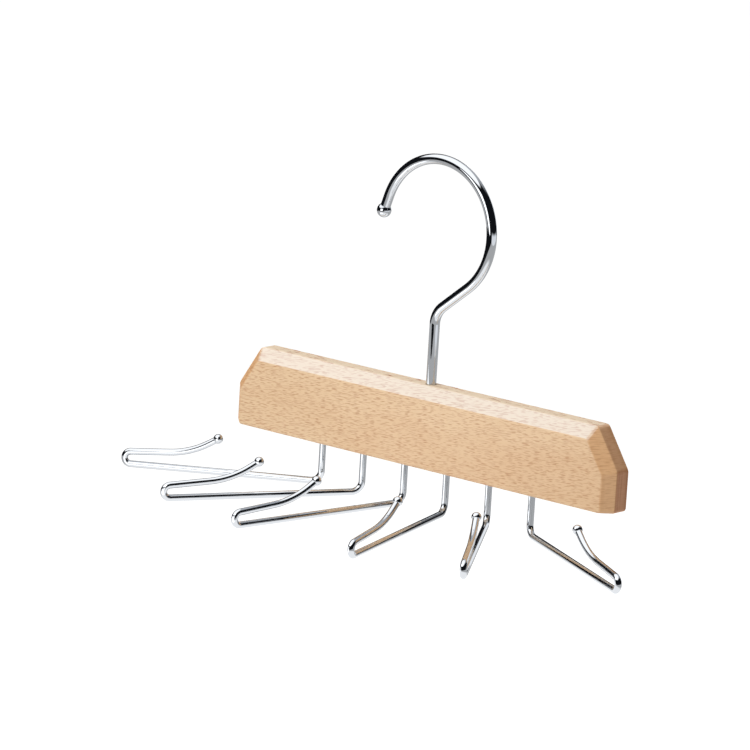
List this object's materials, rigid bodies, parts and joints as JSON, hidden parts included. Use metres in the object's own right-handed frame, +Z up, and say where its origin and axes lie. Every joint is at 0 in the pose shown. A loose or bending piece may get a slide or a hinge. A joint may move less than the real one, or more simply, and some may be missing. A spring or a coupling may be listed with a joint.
{
  "type": "tie hanger",
  "caption": "Wooden bar that swivels under a chromed hook, with a fan of chromed wire arms that swivel under the bar and hold ties, belts or scarves.",
  "frame": {"origin": "the point on the rail's top where it touches the inside of the hook's large bend", "axes": "+Z up, +X along the bar towards its right end seen from the front, and the arms fan out towards -Y"},
  "size_m": [0.2963, 0.1034, 0.1673],
  "materials": {
    "beech": "satin clear varnish over pale beech with short brown flecks",
    "chrome": "bright chrome plating on steel wire",
    "steel": "zinc-plated steel, slightly dull"
  },
  "bodies": {
    "hook": {"hook_wire": "chrome", "hook_ball": "chrome"},
    "bar": {"beech_bar": "beech", "hook_bush": "steel", "hook_washer": "steel", "arm_1_socket": "steel", "arm_2_socket": "steel", "arm_3_socket": "steel", "arm_4_socket": "steel", "arm_5_socket": "steel", "arm_6_socket": "steel"},
    "arm_1": {"arm_1_wire": "chrome", "arm_1_ball": "chrome"},
    "arm_2": {"arm_2_wire": "chrome", "arm_2_ball": "chrome"},
    "arm_3": {"arm_3_wire": "chrome", "arm_3_ball": "chrome"},
    "arm_4": {"arm_4_wire": "chrome", "arm_4_ball": "chrome"},
    "arm_5": {"arm_5_wire": "chrome", "arm_5_ball": "chrome"},
    "arm_6": {"arm_6_wire": "chrome", "arm_6_ball": "chrome"}
  },
  "joints": [
    {"name": "hook_swivel", "type": "hinge", "parent": "hook", "child": "bar", "pos_m": [0.00176, 0, -0.10125], "axis": [0, 0, 1], "continuous": true},
    {"name": "arm_1_swivel", "type": "hinge", "parent": "bar", "child": "arm_1", "pos_m": [-0.06074, 0, -0.13925], "axis": [0, 0, 1], "range_deg": [-195, 38]},
    {"name": "arm_2_swivel", "type": "hinge", "parent": "bar", "child": "arm_2", "pos_m": [-0.03574, 0, -0.13925], "axis": [0, 0, 1], "range_deg": [-32, 30]},
    {"name": "arm_3_swivel", "type": "hinge", "parent": "bar", "child": "arm_3", "pos_m": [-0.01074, 0, -0.13925], "axis": [0, 0, 1], "range_deg": [-27, 36]},
    {"name": "arm_4_swivel", "type": "hinge", "parent": "bar", "child": "arm_4", "pos_m": [0.01426, 0, -0.13925], "axis": [0, 0, 1], "range_deg": [-36, 27]},
    {"name": "arm_5_swivel", "type": "hinge", "parent": "bar", "child": "arm_5", "pos_m": [0.03926, 0, -0.13925], "axis": [0, 0, 1], "range_deg": [-29, 31]},
    {"name": "arm_6_swivel", "type": "hinge", "parent": "bar", "child": "arm_6", "pos_m": [0.06426, 0, -0.13925], "axis": [0, 0, 1], "range_deg": [-38, 195]}
  ]
}
